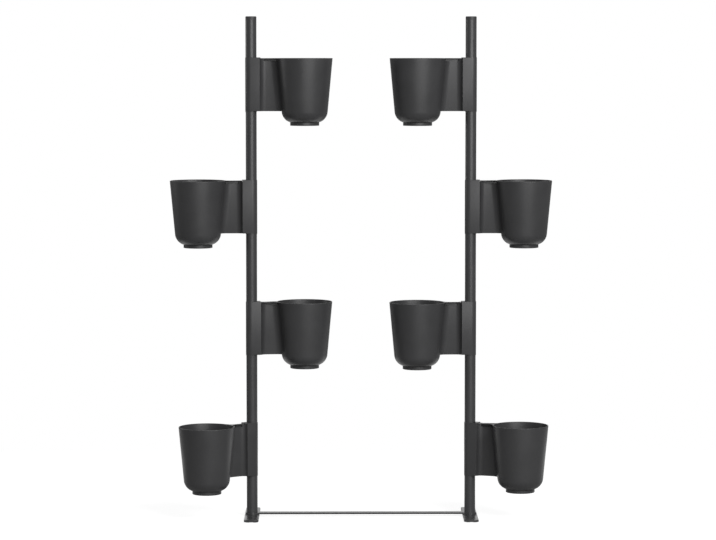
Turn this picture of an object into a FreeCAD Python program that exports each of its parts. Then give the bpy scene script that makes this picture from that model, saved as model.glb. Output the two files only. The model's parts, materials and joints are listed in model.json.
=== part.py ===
"""Planter room divider: two posts on flat feet, with four swivelling pots on each post.

Millimetres, +Z up. The floor is z = 0, +X runs from the left post to the right one, and a person
in front of the divider looks along +Y. The origin is under the middle of the whole outline.
"""
import math
import os

import FreeCAD
import Part

# Posts: steel tubes that plug into one another, with a holder's sleeve threaded on at each joint
post_spacing = 640.0
overall_height = 1466.0
tube_dia = 32.0
tube_wall = 1.5
spigot_overlap = 35.0
spigot_clearance = 0.25
cap_head_height = 10.0
cap_edge_radius = 2.5
cap_plug_length = 18.0

# Tiers: holders at an even pitch between the lowest sleeve and the tube that ends the post
tiers = 4
lowest_sleeve_height = 121.0
top_tube_length = 109.0

# Heading of each arm as photographed, from the lowest tier up, anticlockwise from +X
left_headings = (214.0, 8.0, 183.0, -2.0)
right_headings = (-22.0, 182.5, -1.5, 184.0)

# Holder: a sleeve round the post with a flat-sided shoulder, and a T-shaped rail on the shoulder's end
sleeve_dia = 34.0
sleeve_height = 158.0
swivel_clearance = 0.3
shoulder_reach = 26.5
shoulder_round = 0.8
neck_length = 4.5
neck_width = 6.0
rail_depth = 3.2
rail_width = 11.0

# Arm: a hollow bracket moulded with the pot, which slides down over the rail until its deck rests on it
root_gap = 0.3
root_inset = 1.0
root_draft = 0.3
cove_radius = 18.5
arm_width = 10.0
least_waist = 1.0
arm_fillet = 22.0
arm_wall = 2.4
arm_bottom_rise = 2.0
arm_top_drop = 8.5
arm_bury = 0.3
rail_clearance = 0.3
slot_wall = 3.0
slit_setback = 4.5
web_thickness = 3.0
deck_thickness = 3.0

# Pot
pot_reach = 156.0
rim_dia = 163.0
rim_drop = 2.0
pot_height = 196.0
pot_taper = 5.3
pot_wall = 3.0
rim_round = 1.3
bottom_round = 35.0
foot_dia = 84.5
foot_height = 8.0
foot_ring_width = 5.0
foot_edge_radius = 1.0

# Foot: a flat plate under each post, a strip that ties the two together, and what fastens them
plate_length = 240.0
plate_width = 42.0
plate_thickness = 6.0
plate_end_bulge = 3.0
plate_corner_radius = 6.0
plate_edge_radius = 1.0
strip_width = 24.0
strip_thickness = 5.0
strip_edge_radius = 0.8
eye_dia = 39.0
pad_dia = 14.0
pad_thickness = 2.0
pad_end_inset = 16.0
pad_side_inset = 11.0
bolt_dia = 8.0
bolt_head_dia = 15.6
bolt_length = 32.0
bolt_clearance = 0.2
bolt_socket_across = 5.0
bolt_socket_depth = 2.4
insert_length = 26.0
insert_clearance = 0.1

# Heights and radii that follow from the sizes above
tube_radius = tube_dia / 2
tube_bore_radius = tube_radius - tube_wall
spigot_radius = tube_bore_radius - spigot_clearance
sleeve_radius = sleeve_dia / 2
plate_bottom = pad_thickness
plate_top = plate_bottom + plate_thickness
post_bottom = plate_top + strip_thickness
cap_seat = overall_height - cap_head_height
rim_radius = rim_dia / 2
rim_level = sleeve_height - rim_drop
deck_seat = rim_level - deck_thickness
arm_top = rim_level - arm_top_drop
rail_reach = shoulder_reach + neck_length
rail_front = rail_reach + rail_depth
root_reach = shoulder_reach + root_gap
root_half = sleeve_radius - root_inset
slot_front = rail_front + rail_clearance
slit_start = slot_front + slit_setback
throat_half = neck_width / 2 + rail_clearance
taper = math.tan(math.radians(pot_taper))
draft = math.tan(math.radians(root_draft))
highest_sleeve_height = cap_seat - top_tube_length - sleeve_height
tier_pitch = (highest_sleeve_height - lowest_sleeve_height) / (tiers - 1)

# The posts stand behind the middle of the outline by half of what the pots reach past the plates
front_reach = max(
    rim_radius - pot_reach * math.sin(math.radians(heading))
    for heading in left_headings + right_headings
)
post_line = (max(front_reach, plate_length / 2) - plate_length / 2) / 2

os.makedirs("parts", exist_ok=True)


def vec(x, y, z=0.0):
    return FreeCAD.Vector(x, y, z)


def save(shape, node):
    shape.exportStep("parts/" + node + ".step")


def rounded_wire(corners):
    """A closed wire through corners (point, radius), each rounded by an arc tangent to both sides."""
    edges = []
    spans = []
    for i, (corner, radius) in enumerate(corners):
        before = (corners[i - 1][0] - corner).normalize()
        after = (corners[(i + 1) % len(corners)][0] - corner).normalize()
        if radius == 0:
            spans.append((corner, None, corner))
            continue
        half_angle = before.getAngle(after) / 2
        middle = (before + after).normalize()
        tangent_length = radius / math.tan(half_angle)
        arc_middle = corner + middle * (radius / math.sin(half_angle) - radius)
        spans.append((corner + before * tangent_length, arc_middle, corner + after * tangent_length))
    for i, (start, arc_middle, end) in enumerate(spans):
        if arc_middle is not None:
            edges.append(Part.Arc(start, arc_middle, end).toShape())
        following = spans[(i + 1) % len(spans)][0]
        if not end.isEqual(following, 1e-6):
            edges.append(Part.LineSegment(end, following).toShape())
    return Part.Wire(edges)


def plan(points, bottom, top):
    """An outline seen from above, as corners (x, y, radius), raised from one height to another."""
    wire = rounded_wire([(vec(x, y, bottom), radius) for x, y, radius in points])
    return Part.Face(wire).extrude(vec(0, 0, top - bottom))


def mirrored(half):
    """Outline corners on the +Y side, followed by their mirror images in reverse order."""
    return half + [(x, -y, radius) for x, y, radius in reversed(half)]


def turned(points):
    """A profile of corners (radius, height, rounding) turned about the Z axis."""
    wire = rounded_wire([(vec(r, 0, z), rounding) for r, z, rounding in points])
    return Part.Face(wire).revolve(vec(0, 0, 0), vec(0, 0, 1), 360)


def rod(radius, bottom, top):
    return Part.makeCylinder(radius, top - bottom, vec(0, 0, bottom))


def pipe(outer, inner, bottom, top):
    return rod(outer, bottom, top).cut(rod(inner, bottom, top))


def block(x0, x1, half_width, bottom, top):
    return Part.makeBox(x1 - x0, 2 * half_width, top - bottom, vec(x0, -half_width, bottom))


def on_post(shape, side, height=0.0, heading=0.0):
    """A copy of a piece on the left (-1) or right (+1) post, turned about it and raised."""
    moved = shape.copy()
    moved.rotate(vec(0, 0, 0), vec(0, 0, 1), heading)
    moved.translate(vec(side * post_spacing / 2, post_line, height))
    return moved


def edges_at(shape, height):
    """The edges that lie flat at one height."""
    return [e for e in shape.Edges if abs(e.BoundBox.ZMin - height) + abs(e.BoundBox.ZMax - height) < 1e-4]


def make_tube(bottom, shoulder, spigot_top):
    """A post tube whose upper end is drawn in to a spigot, from the shoulder up."""
    body = pipe(tube_radius, tube_bore_radius, bottom, shoulder)
    if spigot_top == shoulder:
        return body
    seat = pipe(tube_radius, spigot_radius - tube_wall, shoulder - tube_wall, shoulder)
    spigot = pipe(spigot_radius, spigot_radius - tube_wall, shoulder - tube_wall, spigot_top)
    return body.fuse([seat, spigot]).removeSplitter()


def make_cap():
    """A moulded plug that closes the top tube: a head as wide as the tube, and a stem inside it."""
    head = rod(tube_radius, cap_seat, overall_height)
    head = head.makeFillet(cap_edge_radius, edges_at(head, overall_height))
    stem = pipe(spigot_radius, spigot_radius - tube_wall, cap_seat - cap_plug_length, cap_seat)
    return head.fuse(stem).removeSplitter()


def arm_side(level):
    """Corners of one side of the arm at one height: its flared root, its waist and the fillet to the pot.

    On a short arm the fillet is limited by the room between the cove and the pot.
    """
    half_width = arm_width / 2
    root = root_reach + (level - arm_bottom_rise) * draft
    flare = math.acos(1 - (root_half - half_width) / cove_radius)
    cove_corner = root + cove_radius * (math.sin(flare) - math.tan(flare / 2))
    pot_radius = rim_radius - (rim_level - level) * taper - arm_bury
    room = pot_reach - root - cove_radius * math.sin(flare) - least_waist
    widest_fillet = (room**2 - pot_radius**2 + half_width**2) / (2 * (pot_radius - half_width))
    fillet = min(arm_fillet, widest_fillet)
    sweep = math.acos((half_width + fillet) / (pot_radius + fillet))
    fillet_start = pot_reach - (pot_radius + fillet) * math.sin(sweep)
    meeting_width = pot_radius * math.cos(sweep)
    return [
        (root, root_half, 0),
        (cove_corner, half_width, cove_radius),
        (fillet_start + fillet * math.tan(sweep / 2), half_width, fillet),
        (pot_reach - pot_radius * math.sin(sweep), meeting_width, 0),
        (pot_reach, meeting_width, 0),
    ]


def arm_wire(level):
    """The arm's outline at one height, from its root into the pot."""
    return rounded_wire([(vec(x, y, level), radius) for x, y, radius in mirrored(arm_side(level))])


def make_holder():
    """One moulded piece, standing on z = 0 round the post's axis, with its rail along +X."""
    collar = rod(sleeve_radius, 0, arm_bottom_rise)
    body = plan(
        mirrored([
            (-sleeve_radius, sleeve_radius, sleeve_radius),
            (shoulder_reach, sleeve_radius, shoulder_round),
        ]),
        arm_bottom_rise,
        sleeve_height,
    )
    neck = block(sleeve_radius, rail_reach, neck_width / 2, arm_bottom_rise, deck_seat)
    rail = block(rail_reach, rail_front, rail_width / 2, arm_bottom_rise, deck_seat)
    bore = rod(spigot_radius + swivel_clearance, 0, sleeve_height)
    return collar.fuse([body, neck, rail]).cut(bore).removeSplitter()


def make_shell():
    """The pot itself: a tapered cup with a rounded bottom on a raised ring, its rim at z = 0."""
    body_bottom = foot_height - pot_height
    floor = body_bottom + pot_wall
    corner_radius = rim_radius + body_bottom * taper
    wall_across = pot_wall / math.cos(math.radians(pot_taper))
    inner_corner = rim_radius - wall_across + floor * taper
    ring_radius = foot_dia / 2
    ring_inner_radius = ring_radius - foot_ring_width
    ring_top = body_bottom + pot_wall / 2
    cup = turned([
        (0, floor, 0),
        (inner_corner, floor, bottom_round - pot_wall),
        (rim_radius - wall_across, 0, rim_round),
        (rim_radius, 0, rim_round),
        (corner_radius, body_bottom, bottom_round),
        (0, body_bottom, 0),
    ])
    ring = turned([
        (ring_inner_radius, ring_top, 0),
        (ring_radius, ring_top, 0),
        (ring_radius, -pot_height, foot_edge_radius),
        (ring_inner_radius, -pot_height, foot_edge_radius),
    ])
    return cup.fuse(ring)


def make_pot():
    """One moulding, placed as it hangs on a holder that stands on z = 0: the pot, its arm and its deck."""
    shell = make_shell()
    wall_middle = rim_radius - pot_wall / 2
    inside = turned([
        (0, -rim_level, 0),
        (wall_middle - rim_level * taper, -rim_level, 0),
        (wall_middle, 0, 0),
        (0, 0, 0),
    ])
    for turned_shape in (shell, inside):
        turned_shape.translate(vec(pot_reach, 0, rim_level))
    arm = Part.makeLoft([arm_wire(arm_bottom_rise), arm_wire(rim_level)], True, True)
    throat = block(0, rail_reach, throat_half, arm_bottom_rise, deck_seat)
    slot = block(
        rail_reach - rail_clearance,
        slot_front,
        rail_width / 2 + rail_clearance,
        arm_bottom_rise,
        deck_seat,
    )
    hollow = block(
        slot_front + slot_wall,
        pot_reach,
        arm_width / 2 - arm_wall,
        arm_bottom_rise,
        arm_top - arm_wall,
    )
    slit = block(slit_start, pot_reach, rim_radius, arm_top, deck_seat)
    web = block(slit_start, pot_reach, web_thickness / 2, arm_top, deck_seat)
    arm = arm.cut(throat).cut(slot).cut(hollow).cut(slit.cut(web)).cut(inside)
    return shell.fuse(arm).removeSplitter()


def countersink(extra):
    """The bolt's sunk head, or with some extra the seat for it, opening at the plate's underside."""
    head_radius = bolt_head_dia / 2 + extra
    shank_radius = bolt_dia / 2 + extra
    depth = head_radius - shank_radius
    return Part.makeCone(head_radius, shank_radius, depth, vec(0, 0, plate_bottom))


def make_plate():
    """A flat foot bar along Y, with slightly bowed ends and a sunk hole for the post's bolt."""
    half_length = plate_length / 2
    half_width = plate_width / 2
    bow = []
    for end in (-1, 1):
        arc = Part.Arc(
            vec(-end * half_width, end * (half_length - plate_end_bulge), plate_bottom),
            vec(0, end * half_length, plate_bottom),
            vec(end * half_width, end * (half_length - plate_end_bulge), plate_bottom),
        )
        bow.append(arc.toShape())
    sides = [
        Part.LineSegment(
            vec(side * half_width, -(half_length - plate_end_bulge), plate_bottom),
            vec(side * half_width, half_length - plate_end_bulge, plate_bottom),
        ).toShape()
        for side in (-1, 1)
    ]
    outline = Part.Wire(Part.__sortEdges__(bow + sides))
    plate = Part.Face(outline).extrude(vec(0, 0, plate_thickness))
    upright = [e for e in plate.Edges if e.BoundBox.ZLength > plate_thickness - 1e-4]
    plate = plate.makeFillet(plate_corner_radius, upright)
    plate = plate.makeFillet(plate_edge_radius, edges_at(plate, plate_top))
    hole = rod(bolt_dia / 2 + bolt_clearance, plate_bottom, plate_top)
    return plate.cut(hole.fuse(countersink(bolt_clearance)))


def make_strip():
    """The flat strip between the posts, with a round eye at each end that the post stands on."""
    half_span = post_spacing / 2
    strip = block(-half_span, half_span, strip_width / 2, plate_top, post_bottom)
    for side in (-1, 1):
        eye = rod(eye_dia / 2, plate_top, post_bottom)
        eye.translate(vec(side * half_span, 0, 0))
        strip = strip.fuse(eye)
    strip = strip.removeSplitter()
    strip = strip.makeFillet(strip_edge_radius, edges_at(strip, post_bottom))
    for side in (-1, 1):
        hole = rod(bolt_dia / 2 + bolt_clearance, plate_top, post_bottom)
        hole.translate(vec(side * half_span, 0, 0))
        strip = strip.cut(hole)
    strip.translate(vec(0, post_line, 0))
    return strip


def make_bolt():
    """A countersunk socket bolt that goes up through the plate and the eye into the post."""
    shank = rod(bolt_dia / 2, plate_bottom, plate_bottom + bolt_length)
    socket = Part.Face(Part.makePolygon([
        vec(
            bolt_socket_across / math.sqrt(3) * math.cos(math.radians(60 * corner)),
            bolt_socket_across / math.sqrt(3) * math.sin(math.radians(60 * corner)),
            plate_bottom,
        )
        for corner in range(7)
    ])).extrude(vec(0, 0, bolt_socket_depth))
    return shank.fuse(countersink(0)).cut(socket).removeSplitter()


def make_insert():
    """The threaded plug in the foot of the post that the bolt pulls on."""
    return pipe(
        tube_bore_radius - insert_clearance,
        bolt_dia / 2 + bolt_clearance,
        post_bottom,
        post_bottom + insert_length,
    )


def make_pads():
    """Four round pads under one plate."""
    pads = []
    for end in (-1, 1):
        for side in (-1, 1):
            pad = rod(pad_dia / 2, 0, pad_thickness)
            pad.translate(vec(
                side * (plate_width / 2 - pad_side_inset),
                end * (plate_length / 2 - pad_end_inset),
                0,
            ))
            pads.append(pad)
    return pads


# Sleeve heights, and the tubes between them from the foot to the cap
sleeve_levels = [lowest_sleeve_height + tier_pitch * tier for tier in range(tiers)]
tube_bottoms = [post_bottom] + [level + sleeve_height for level in sleeve_levels]
tubes = [
    make_tube(bottom, level, level + sleeve_height + spigot_overlap)
    for bottom, level in zip(tube_bottoms, sleeve_levels)
]
tubes.append(make_tube(tube_bottoms[-1], cap_seat, cap_seat))

cap = make_cap()
insert = make_insert()
plate = make_plate()
holder = make_holder()
pot = make_pot()

for post, side, headings in (("left", -1, left_headings), ("right", 1, right_headings)):
    save(on_post(plate, side), post + "_foot_plate")
    save(on_post(insert, side), post + "_threaded_insert")
    save(on_post(cap, side), post + "_top_cap")
    for number, tube in enumerate(tubes, 1):
        save(on_post(tube, side), f"{post}_tube_{number}")
    for number, (level, heading) in enumerate(zip(sleeve_levels, headings), 1):
        save(on_post(holder, side, level, heading), f"{post}_holder_{number}")
        save(on_post(pot, side, level, heading), f"{post}_pot_{number}")

save(make_strip(), "crossbar")
save(Part.makeCompound([on_post(make_bolt(), side) for side in (-1, 1)]), "post_bolts")
save(Part.makeCompound([on_post(pad, side) for side in (-1, 1) for pad in make_pads()]), "foot_pads")
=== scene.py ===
import json
import math

import bmesh
import bpy
from mathutils import Matrix, Vector


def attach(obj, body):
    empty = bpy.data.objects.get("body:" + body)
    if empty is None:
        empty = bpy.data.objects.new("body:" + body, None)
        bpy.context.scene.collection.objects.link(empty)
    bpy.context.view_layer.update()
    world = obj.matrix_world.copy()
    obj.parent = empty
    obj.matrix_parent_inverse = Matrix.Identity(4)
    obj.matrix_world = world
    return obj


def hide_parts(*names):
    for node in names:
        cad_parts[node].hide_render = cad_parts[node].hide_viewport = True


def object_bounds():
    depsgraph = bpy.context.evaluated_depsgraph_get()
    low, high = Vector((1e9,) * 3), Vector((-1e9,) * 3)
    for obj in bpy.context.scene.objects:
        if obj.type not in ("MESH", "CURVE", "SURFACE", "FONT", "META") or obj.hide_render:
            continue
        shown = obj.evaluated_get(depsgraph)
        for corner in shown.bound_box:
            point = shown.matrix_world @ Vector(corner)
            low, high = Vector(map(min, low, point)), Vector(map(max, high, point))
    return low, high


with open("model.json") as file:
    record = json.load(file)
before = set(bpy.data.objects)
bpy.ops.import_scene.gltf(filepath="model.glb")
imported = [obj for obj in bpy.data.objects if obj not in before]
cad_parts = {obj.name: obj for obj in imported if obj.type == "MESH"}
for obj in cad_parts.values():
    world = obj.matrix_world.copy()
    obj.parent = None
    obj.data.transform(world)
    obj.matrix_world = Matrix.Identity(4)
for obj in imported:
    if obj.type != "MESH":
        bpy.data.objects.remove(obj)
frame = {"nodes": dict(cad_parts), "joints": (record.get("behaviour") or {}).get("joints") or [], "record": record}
cad_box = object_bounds()
bpy.context.scene.view_settings.view_transform = "Standard"


# Pads under the foot plates.
# Eight small rubber discs, glued on so that the steel doesn't scratch the floor.
mm = 0.001


def srgb(hex_colour):
    """An sRGB hex colour as linear red, green, blue and alpha."""
    channels = [int(hex_colour[i:i + 2], 16) / 255 for i in (1, 3, 5)]
    return [c / 12.92 if c <= 0.04045 else ((c + 0.055) / 1.055) ** 2.4 for c in channels] + [1.0]


def add(tree, kind, inputs, **settings):
    """Add a node with its settings; each input is a value, or the output socket that feeds it."""
    node = tree.nodes.new("ShaderNode" + kind)
    for name, value in settings.items():
        setattr(node, name, value)
    for name, value in inputs.items():
        if isinstance(value, bpy.types.NodeSocket):
            tree.links.new(value, node.inputs[name])
        else:
            node.inputs[name].default_value = value
    return node


def grained_surface(name, dark, light, roughness, patch, grain, depth, **shader):
    """A finish whose colour and gloss drift a little over patches, on a relief of fine grain.

    dark, light: hex colours; roughness: (lowest, highest); patch, grain, depth: metres.
    A grain below 2 mm is drawn coarser than the real one, which is too fine to show.
    """
    material = bpy.data.materials.new(name)
    material.use_nodes = True
    tree = material.node_tree
    tree.nodes.clear()
    place = add(tree, "TexCoord", {}).outputs["Object"]
    drift = add(tree, "TexNoise", {"Vector": place, "Scale": 1 / patch, "Detail": 3.0})
    noise_span = {"From Min": 0.3, "From Max": 0.7}
    colour = add(tree, "MapRange", {"Value": drift.outputs["Fac"], **noise_span})
    tint = add(tree, "ValToRGB", {"Fac": colour.outputs["Result"]})
    tint.color_ramp.elements[0].color = srgb(dark)
    tint.color_ramp.elements[1].color = srgb(light)
    gloss = add(tree, "MapRange", {
        "Value": drift.outputs["Fac"],
        **noise_span,
        "To Min": roughness[0],
        "To Max": roughness[1],
    })
    bumps = add(tree, "TexNoise", {"Vector": place, "Scale": 1 / grain, "Detail": 2.0})
    relief = add(tree, "Bump", {"Height": bumps.outputs["Fac"], "Distance": depth, "Strength": 1.0})
    surface = add(tree, "BsdfPrincipled", {
        "Base Color": tint.outputs["Color"],
        "Roughness": gloss.outputs["Result"],
        "Normal": relief.outputs["Normal"],
        **shader,
    })
    add(tree, "OutputMaterial", {"Surface": surface.outputs["BSDF"]})
    return material


def give_finish(node, material):
    """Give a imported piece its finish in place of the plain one."""
    mesh = frame["nodes"][node].data
    mesh.materials.clear()
    mesh.materials.append(material)


# Black rubber: matt, with a faintly uneven skin from the mould.
moulded_rubber = grained_surface(
    "moulded_rubber", "#1d1d1e", "#262627", roughness=(0.75, 0.85),
    patch=8 * mm, grain=0.8 * mm, depth=0.03 * mm, IOR=1.52,
)
give_finish("foot_pads", moulded_rubber)


# Foot plates and crossbar.
# Flat steel bars, cut and rounded at the corners, then powder-coated. The crossbar's eyes lie on
# the plates, and the posts stand on the eyes.
posts = ("left", "right")

# Powder coat: a satin skin that flowed out in the oven, with an orange peel of about 2 mm.
powder_coat = grained_surface(
    "powder_coated_steel", "#3a3a3b", "#414142", roughness=(0.24, 0.32),
    patch=45 * mm, grain=2.0 * mm, depth=0.02 * mm, IOR=1.5,
)
give_finish("crossbar", powder_coat)
for post in posts:
    give_finish(f"{post}_foot_plate", powder_coat)


# Bolts and inserts.
# A countersunk socket bolt comes up through plate and eye into a threaded plug in the tube's foot.
# The bolts are zinc-plated steel, and the plugs are turned from steel bar and left plain.

# Zinc plate: bright bluish metal with a fine, slightly clouded crystal.
zinc_plate = grained_surface(
    "zinc_plated_steel", "#b4b8bd", "#c9ccd1", roughness=(0.25, 0.4),
    patch=6 * mm, grain=0.5 * mm, depth=0.01 * mm, Metallic=1.0,
)
give_finish("post_bolts", zinc_plate)

# Turned steel: plain grey metal from the lathe, duller than the plated bolt.
turned_steel = grained_surface(
    "turned_steel", "#a3a4a6", "#b5b6b8", roughness=(0.35, 0.5),
    patch=10 * mm, grain=0.6 * mm, depth=0.02 * mm, Metallic=1.0,
)
for post in posts:
    give_finish(f"{post}_threaded_insert", turned_steel)


# Posts.
# Each is a stack of steel tubes, powder-coated. A drawn-in spigot on every lower tube goes through a
# holder's sleeve and plugs into the tube above.
tubes_per_post = 5

# Powder coat on tube: a flatter orange peel than on the feet, with a touch less gloss.
tube_coat = grained_surface(
    "powder_coated_tube", "#3b3b3c", "#404041", roughness=(0.27, 0.34),
    patch=60 * mm, grain=2.0 * mm, depth=0.015 * mm, IOR=1.5,
)
for post in posts:
    for number in range(1, tubes_per_post + 1):
        give_finish(f"{post}_tube_{number}", tube_coat)


# Top caps.
# Polyethylene mouldings that are pushed into the posts to close them, a shade duller than the tubes.

# Polyethylene: waxy, with a fine grain from the mould.
moulded_polyethylene = grained_surface(
    "moulded_polyethylene", "#363637", "#3c3c3d", roughness=(0.42, 0.5),
    patch=20 * mm, grain=0.8 * mm, depth=0.02 * mm, IOR=1.51,
)
for post in posts:
    give_finish(f"{post}_top_cap", moulded_polyethylene)


# Holders.
# One polypropylene moulding each: a sleeve that turns on the post, with a flat-sided shoulder. A
# T-shaped rail stands on the shoulder's end, and the pot's arm slides down over it.
sleeve_radius = 17 * mm
sleeve_bore = 14.55 * mm
sleeve_height = 158 * mm
shoulder_reach = 26.5 * mm
shoulder_round = 0.8 * mm
neck_length = 4.5 * mm
neck_width = 6 * mm
rail_depth = 3.2 * mm
rail_width = 11 * mm
arm_bottom = 2 * mm
rim_drop = 2 * mm
deck_thickness = 3 * mm
moulded_edge = 0.7 * mm
arc_steps = 12
edge_steps = 3
sleeve_segments = 72

# A tuck keeps two faces out of one plane, and points nearer than the second value count as one.
tuck = 0.1 * mm
same_point = 0.001 * mm

rail_reach = shoulder_reach + neck_length
rail_front = rail_reach + rail_depth
rim_level = sleeve_height - rim_drop
deck_seat = rim_level - deck_thickness


def rounded(corners):
    """A closed outline through corners (x, y, radius), with an arc at each corner with a radius."""
    outline = []
    for i, (x, y, radius) in enumerate(corners):
        corner = Vector((x, y))
        if radius == 0:
            outline.append(corner)
            continue
        before = (Vector(corners[i - 1][:2]) - corner).normalized()
        after = (Vector(corners[(i + 1) % len(corners)][:2]) - corner).normalized()
        half_angle = before.angle(after) / 2
        centre = corner + (before + after).normalized() * radius / math.sin(half_angle)
        start = (before * radius / math.tan(half_angle) + corner - centre).normalized()
        end = (after * radius / math.tan(half_angle) + corner - centre).normalized()
        for step in range(arc_steps + 1):
            outline.append(centre + start.slerp(end, step / arc_steps) * radius)
    return [p for i, p in enumerate(outline) if (p - outline[i - 1]).length > same_point]


def mirrored(half):
    """Outline corners on the +Y side, followed by their mirror images in reverse order."""
    return half + [(x, -y, radius) for x, y, radius in reversed(half)]


def inset(outline, distance):
    """A clockwise outline moved in by a distance; its sharpest corners move a limited way."""
    least_lean = 0.3
    moved = []
    for i, point in enumerate(outline):
        before = (point - outline[i - 1]).normalized()
        after = (outline[(i + 1) % len(outline)] - point).normalized()
        side = (Vector((before.y, -before.x)) + Vector((after.y, -after.x))).normalized()
        lean = max(side.dot(Vector((before.y, -before.x))), least_lean)
        moved.append(point + side * distance / lean)
    return moved


def edge_levels(outline, height, side):
    """A rounded edge as (outline, height) pairs, from the end face to the wall.

    side: 1 for an edge at the bottom, -1 for one at the top.
    """
    levels = []
    for step in range(edge_steps + 1):
        turn = math.radians(90) * step / edge_steps
        rise = moulded_edge * (1 - math.cos(turn))
        levels.append((inset(outline, moulded_edge * (1 - math.sin(turn))), height + side * rise))
    return levels


def stack(shape, levels):
    """The side faces through outlines at rising heights, all with the same number of points."""
    rings = [[shape.verts.new((p.x, p.y, height)) for p in outline] for outline, height in levels]
    for lower, upper in zip(rings, rings[1:]):
        for i in range(len(lower)):
            k = (i + 1) % len(lower)
            shape.faces.new((lower[i], upper[i], upper[k], lower[k]))
    return rings


def prism(shape, outline, bottom, top):
    """A closed upright solid on an outline, with rounded edges at its bottom and top."""
    rings = stack(shape, edge_levels(outline, bottom, 1) + edge_levels(outline, top, -1)[::-1])
    shape.faces.new(rings[0])
    shape.faces.new(rings[-1][::-1])


def turned(shape, profile, centre, segments):
    """A profile of points (radius, height), turned about an upright axis through the centre."""
    rings = []
    for radius, height in profile:
        count = segments if radius > same_point else 1
        rings.append([
            shape.verts.new((
                centre + radius * math.cos(2 * math.pi * i / segments),
                radius * math.sin(2 * math.pi * i / segments),
                height,
            ))
            for i in range(count)
        ])
    for lower, upper in zip(rings, rings[1:]):
        for i in range(segments):
            k = (i + 1) % segments
            low = [lower[i % len(lower)], lower[k % len(lower)]]
            high = [upper[k % len(upper)], upper[i % len(upper)]]
            shape.faces.new(list(dict.fromkeys(low + high)))
    return rings


def ring_edges(ring):
    """The edges round a ring of vertices."""
    return [edge for vert in ring for edge in vert.link_edges if edge.other_vert(vert) in ring]


def moulding(name, shape):
    """The finished mesh of a moulded piece, smooth across its rounded edges."""
    sharp_from = math.radians(38)
    bmesh.ops.recalc_face_normals(shape, faces=shape.faces)
    mesh = bpy.data.meshes.new(name)
    shape.to_mesh(mesh)
    shape.free()
    mesh.shade_smooth()
    mesh.set_sharp_from_angle(angle=sharp_from)
    return mesh


holder_shape = bmesh.new()
body_outline = rounded(mirrored([
    (-sleeve_radius, sleeve_radius, sleeve_radius),
    (shoulder_reach, sleeve_radius, shoulder_round),
]))
lower_edge = edge_levels(body_outline, arm_bottom, 1)
upper_edge = edge_levels(body_outline, sleeve_height, -1)
outside = stack(holder_shape, lower_edge + upper_edge[::-1])
bore_profile = [(sleeve_bore, arm_bottom), (sleeve_bore, sleeve_height)]
bore = turned(holder_shape, bore_profile, 0, sleeve_segments)
for outer, inner in ((outside[0], bore[0]), (outside[-1], bore[-1])):
    bmesh.ops.bridge_loops(holder_shape, edges=list(set(ring_edges(outer) + ring_edges(inner))))
collar = rounded([
    (sleeve_bore, 0, 0),
    (sleeve_bore, arm_bottom + moulded_edge, 0),
    (sleeve_radius - tuck, arm_bottom + moulded_edge, 0),
    (sleeve_radius - tuck, 0, moulded_edge),
])
turned(holder_shape, collar + collar[:1], 0, sleeve_segments)
rail_outline = rounded(mirrored([
    (sleeve_radius, neck_width / 2, 0),
    (rail_reach, neck_width / 2, 0),
    (rail_reach, rail_width / 2, 0),
    (rail_front, rail_width / 2, 0),
]))
prism(holder_shape, rail_outline, arm_bottom + tuck, deck_seat - tuck)
holder_mesh = moulding("moulded_holder", holder_shape)

# Polypropylene: dense dark grey with a soft sheen, and a spark-eroded grain from the mould.
moulded_polypropylene = grained_surface(
    "moulded_polypropylene", "#373738", "#3b3b3c", roughness=(0.36, 0.43),
    patch=70 * mm, grain=1.0 * mm, depth=0.02 * mm, IOR=1.49,
)
holder_mesh.materials.append(moulded_polypropylene)


def put_in_scene(name, data):
    """A new object with the given mesh, light or camera."""
    thing = bpy.data.objects.new(name, data)
    bpy.context.scene.collection.objects.link(thing)
    return thing


def hang(mesh, kind):
    """Put a copy of a moulding on each tier of both posts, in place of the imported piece."""
    record_openings = frame["record"]["physics"]["openings"]
    openings = {opening["name"]: opening["box_m"] for opening in record_openings}
    swivels = [joint for joint in frame["joints"] if joint["type"] == "hinge"]
    body_kinds = {"holder": "arm", "pot": "planter"}
    for swivel in swivels:
        post, _, number = swivel["name"].split("_")
        axis = Vector(swivel["pos_m"])
        low, high = openings[f"{post}_pot_{number}_inside_middle"]
        heading = math.atan2((low[1] + high[1]) / 2 - axis.y, (low[0] + high[0]) / 2 - axis.x)
        placed = mesh.copy()
        placed.transform(Matrix.Translation(axis) @ Matrix.Rotation(heading, 4, "Z"))
        piece = put_in_scene(f"moulded_{post}_{kind}_{number}", placed)
        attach(piece, f"{post}_{body_kinds[kind]}_{number}")
        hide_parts(f"{post}_{kind}_{number}")


hang(holder_mesh, "holder")


# Pots.
# Tapered polypropylene mouldings with a rounded bottom on a low ring. A thin hollow arm is moulded on
# behind, which flares to the shoulder and to the pot; its deck rests on the rail, over a slit per side.
pot_reach = 156 * mm
rim_radius = 81.5 * mm
pot_height = 196 * mm
pot_taper = math.radians(5.3)
pot_wall = 3 * mm
rim_round = 1.3 * mm
bottom_round = 35 * mm
foot_dia = 84.5 * mm
foot_height = 8 * mm
foot_ring_width = 5 * mm
foot_edge = 1 * mm
root_gap = 0.3 * mm
root_inset = 1 * mm
root_draft = math.radians(0.3)
cove_radius = 18.5 * mm
arm_width = 10 * mm
arm_fillet = 22 * mm
arm_wall = 2.4 * mm
arm_top_drop = 8.5 * mm
arm_bury = 0.3 * mm
hollow_bury = 0.5 * mm
rail_clearance = 0.3 * mm
slot_wall = 3 * mm
slit_setback = 4.5 * mm
web_thickness = 3 * mm
pot_segments = 144

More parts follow.
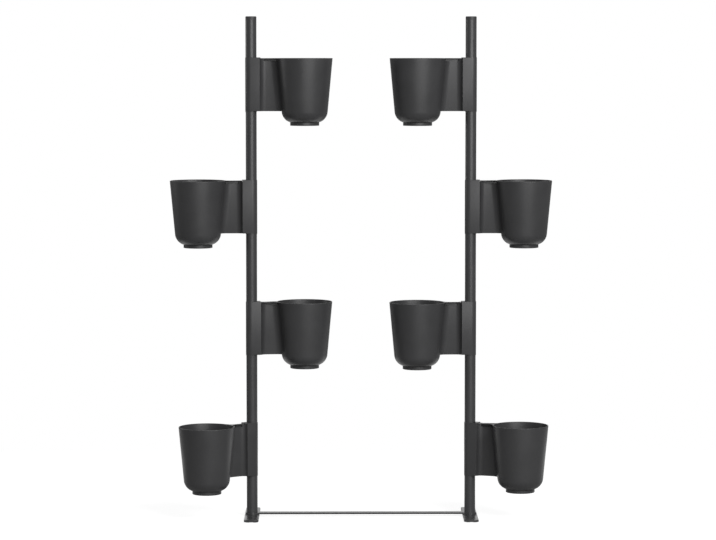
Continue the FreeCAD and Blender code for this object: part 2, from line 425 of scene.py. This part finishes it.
taper = math.tan(pot_taper)
pot_bottom = rim_level - pot_height
body_bottom = pot_bottom + foot_height
pot_floor = body_bottom + pot_wall
wall_across = pot_wall / math.cos(pot_taper)
ring_radius = foot_dia / 2
ring_inner_radius = ring_radius - foot_ring_width
ring_top = body_bottom + pot_wall / 2
arm_top = rim_level - arm_top_drop
root_reach = shoulder_reach + root_gap
root_half = sleeve_radius - root_inset
slot_front = rail_front + rail_clearance
slot_back = rail_reach - rail_clearance
slot_half = rail_width / 2 + rail_clearance
throat_half = neck_width / 2 + rail_clearance
slit_start = slot_front + slit_setback


def pot_radius_at(height, depth):
    """The pot's radius at one height, at a depth below its outside."""
    return rim_radius - depth - (rim_level - height) * taper


cup_profile = rounded([
    (0, pot_floor, 0),
    (pot_radius_at(pot_floor, wall_across), pot_floor, bottom_round - pot_wall),
    (rim_radius - wall_across, rim_level, rim_round),
    (rim_radius, rim_level, rim_round),
    (pot_radius_at(body_bottom, 0), body_bottom, bottom_round),
    (0, body_bottom, 0),
])
ring_profile = rounded([
    (ring_inner_radius, ring_top, 0),
    (ring_radius, ring_top, 0),
    (ring_radius, pot_bottom, foot_edge),
    (ring_inner_radius, pot_bottom, foot_edge),
])
pot_shape = bmesh.new()
turned(pot_shape, cup_profile, pot_reach, pot_segments)
turned(pot_shape, ring_profile + ring_profile[:1], pot_reach, pot_segments)


def arm_side(height):
    """Corners of one side of the arm at one height: flared root, waist and fillet to the pot."""
    half_width = arm_width / 2
    root = root_reach + (height - arm_bottom) * math.tan(root_draft)
    flare = math.acos(1 - (root_half - half_width) / cove_radius)
    cove_corner = root + cove_radius * (math.sin(flare) - math.tan(flare / 2))
    pot_radius = pot_radius_at(height, arm_bury)
    sweep = math.acos((half_width + arm_fillet) / (pot_radius + arm_fillet))
    fillet_start = pot_reach - (pot_radius + arm_fillet) * math.sin(sweep)
    return [
        (root, root_half, 0),
        (cove_corner, half_width, cove_radius),
        (fillet_start + arm_fillet * math.tan(sweep / 2), half_width, arm_fillet),
        (pot_reach - pot_radius * math.sin(sweep), pot_radius * math.cos(sweep), 0),
    ]


def wall_arc(height, start, end):
    """Points in the middle of the pot's wall, between two distances from the arm's axis."""
    radius = pot_radius_at(height, pot_wall / 2)
    first = math.asin(start / radius)
    last = math.asin(end / radius)
    turns = [first + (last - first) * step / arc_steps for step in range(arc_steps + 1)]
    return [(pot_reach - radius * math.cos(turn), radius * math.sin(turn), 0) for turn in turns]


def arm_outline(height):
    """The arm from above at one height, from the slot in its root to the middle of the pot's wall."""
    side = arm_side(height)
    slot = [
        (slot_front, slot_half, 0),
        (slot_back, slot_half, 0),
        (slot_back, throat_half, 0),
        (side[0][0], throat_half, 0),
    ]
    return rounded(mirrored(slot + side + wall_arc(height, side[-1][1], 0)))


def slit_outline(height):
    """The same outline beside the slits: past their start, only a web along the middle is left."""
    web_half = web_thickness / 2
    web_end = pot_reach - pot_radius_at(height, pot_wall / 2)
    return [
        Vector((min(p.x, web_end), max(-web_half, min(web_half, p.y)))) if p.x > slit_start else p
        for p in arm_outline(height)
    ]


def hollow_outline(height):
    """The hollow in the arm at one height, which ends just inside the pot's wall."""
    end = pot_reach - pot_radius_at(height, hollow_bury)
    half_width = arm_width / 2 - arm_wall
    return rounded(mirrored([(slot_front + slot_wall, half_width, 0), (end, half_width, 0)]))


arm_rings = stack(pot_shape, edge_levels(arm_outline(arm_bottom), arm_bottom, 1) + [
    (arm_outline(arm_top), arm_top - tuck),
    (slit_outline(arm_top), arm_top),
    (slit_outline(deck_seat), deck_seat + moulded_edge),
])
pot_shape.faces.new(arm_rings[-1])
hollow_top = arm_top - arm_wall
hollow_rings = stack(pot_shape, [
    (hollow_outline(arm_bottom), arm_bottom),
    (hollow_outline(hollow_top), hollow_top),
])
pot_shape.faces.new(hollow_rings[-1])
underside = ring_edges(arm_rings[0]) + ring_edges(hollow_rings[0])
bmesh.ops.triangle_fill(pot_shape, use_beauty=True, edges=list(set(underside)))
deck_side = arm_side(rim_level)
deck_half = deck_side[-1][1]
far_side = [(x, -y, radius) for x, y, radius in reversed(deck_side)]
deck_outline = rounded(deck_side + wall_arc(rim_level, deck_half, -deck_half) + far_side)
prism(pot_shape, deck_outline, deck_seat, rim_level - tuck)
pot_mesh = moulding("moulded_pot", pot_shape)
pot_mesh.materials.append(moulded_polypropylene)
hang(pot_mesh, "pot")


# Floor.
# A sheet of white paper under the divider. It looks white to the camera and keeps a faint shadow of
# the feet. In reflections its glow carries a painted shadow: dim below and in front of the divider, bright behind
# it.
floor_half = 1.4
painted_shadow_until = 0.1
bright_from = 0.6
painted_shadow_level = 0.15
paper_level = 0.88


def whiteness(tree, share_in_reflections):
    """1 for the camera and through glass, and a share of that in reflections."""
    ray = add(tree, "LightPath", {})
    straight = add(tree, "Math", {
        0: ray.outputs["Is Camera Ray"],
        1: ray.outputs["Is Transmission Ray"],
    }, operation="MAXIMUM")
    reflected = add(tree, "Math", {
        0: ray.outputs["Is Glossy Ray"],
        1: share_in_reflections,
    }, operation="MULTIPLY")
    white = add(tree, "Math", {
        0: straight.outputs[0],
        1: reflected.outputs[0],
    }, operation="MAXIMUM")
    return white.outputs[0]


floor_shape = bmesh.new()
bmesh.ops.create_grid(floor_shape, x_segments=1, y_segments=1, size=floor_half)
floor_mesh = bpy.data.meshes.new("studio_floor")
floor_shape.to_mesh(floor_mesh)
floor_shape.free()
floor = put_in_scene("studio_floor", floor_mesh)

# White paper: matt, with a glow of its own where it is seen as white.
paper = bpy.data.materials.new("white_paper_sweep")
paper.use_nodes = True
tree = paper.node_tree
tree.nodes.clear()
spot = add(tree, "SeparateXYZ", {"Vector": add(tree, "TexCoord", {}).outputs["Object"]})
# Painted shadow: the glow that reflections see is turned down below and in front of the divider, by position
# alone.
painted_shadow_share = add(tree, "MapRange", {
    "Value": spot.outputs["Y"],
    "From Min": painted_shadow_until,
    "From Max": bright_from,
    "To Min": painted_shadow_level,
    "To Max": 1.0,
})
glow_level = add(tree, "Math", {
    0: whiteness(tree, painted_shadow_share.outputs["Result"]),
    1: paper_level,
}, operation="MULTIPLY")
glow = add(tree, "Emission", {"Color": srgb("#ffffff"), "Strength": glow_level.outputs[0]})
matt = add(tree, "BsdfDiffuse", {"Color": srgb("#a0a0a0")})
both = add(tree, "AddShader", {0: matt.outputs[0], 1: glow.outputs[0]})
add(tree, "OutputMaterial", {"Surface": both.outputs[0]})
floor_mesh.materials.append(paper)


# Backdrop.
# The camera sees white all round. In reflections only a tall sheet behind the divider is white, with
# soft edges, and the rest of the room gives a low, even light.
room_level = 0.23

# Bounds of the sheet, as parts of a direction of length 1: across, and then towards the back.
sheet_half_width = 0.22
sheet_fade_width = 0.32
sheet_fade_start = 0.3
sheet_full_from = 0.4

studio = bpy.data.worlds.new("white_studio")
bpy.context.scene.world = studio
studio.use_nodes = True
tree = studio.node_tree
tree.nodes.clear()
direction = add(tree, "SeparateXYZ", {"Vector": add(tree, "TexCoord", {}).outputs["Generated"]})
aside = add(tree, "Math", {0: direction.outputs["X"]}, operation="ABSOLUTE")
across = add(tree, "MapRange", {
    "Value": aside.outputs[0],
    "From Min": sheet_fade_width,
    "From Max": sheet_half_width,
})
behind = add(tree, "MapRange", {
    "Value": direction.outputs["Y"],
    "From Min": sheet_fade_start,
    "From Max": sheet_full_from,
})
sheet = add(tree, "Math", {0: across.outputs[0], 1: behind.outputs[0]}, operation="MULTIPLY")
level = add(tree, "Math", {
    0: whiteness(tree, sheet.outputs[0]),
    1: room_level,
}, operation="MAXIMUM")
air = add(tree, "Background", {"Color": srgb("#ffffff"), "Strength": level.outputs[0]})
add(tree, "OutputWorld", {"Surface": air.outputs[0]})


# Lights.
# A large soft box high in front on the right, a wide one low in front, and a weak one on the left.
def soft_box(name, azimuth, elevation, distance, width, height, power):
    """An area light turned towards the middle of the divider; angles in degrees, power in watts."""
    lamp = bpy.data.lights.new(name, "AREA")
    lamp.shape = "RECTANGLE"
    lamp.size = width
    lamp.size_y = height
    lamp.energy = power
    box = put_in_scene(name, lamp)
    middle = (cad_box[0] + cad_box[1]) / 2
    turn = math.radians(azimuth)
    rise = math.radians(elevation)
    level_way = Vector((math.sin(turn), -math.cos(turn), 0))
    away = level_way * math.cos(rise) + Vector((0, 0, math.sin(rise)))
    box.location = middle + away * distance
    box.rotation_euler = away.to_track_quat("Z", "Y").to_euler()


soft_box("key_soft_box", azimuth=32, elevation=33, distance=7.0, width=3.2, height=2.4, power=315)
soft_box("front_soft_box", azimuth=16, elevation=6, distance=7.0, width=6.0, height=2.1, power=142)
soft_box("rim_soft_box", azimuth=-105, elevation=10, distance=4.0, width=1.2, height=1.2, power=10)


# Camera.
# A long lens straight in front, about level with the highest rims and tilted down a little.
camera_place = (-0.079, -8.345, 1.371)
camera_tilt = math.radians(85.6)
camera_turn = math.radians(-0.48)
lens = bpy.data.cameras.new("front_camera")
lens.sensor_fit = "HORIZONTAL"
lens.sensor_width = 36.0
lens.lens = 144.33
camera = put_in_scene("front_camera", lens)
camera.location = camera_place
camera.rotation_euler = (camera_tilt, 0, camera_turn)
bpy.context.scene.camera = camera
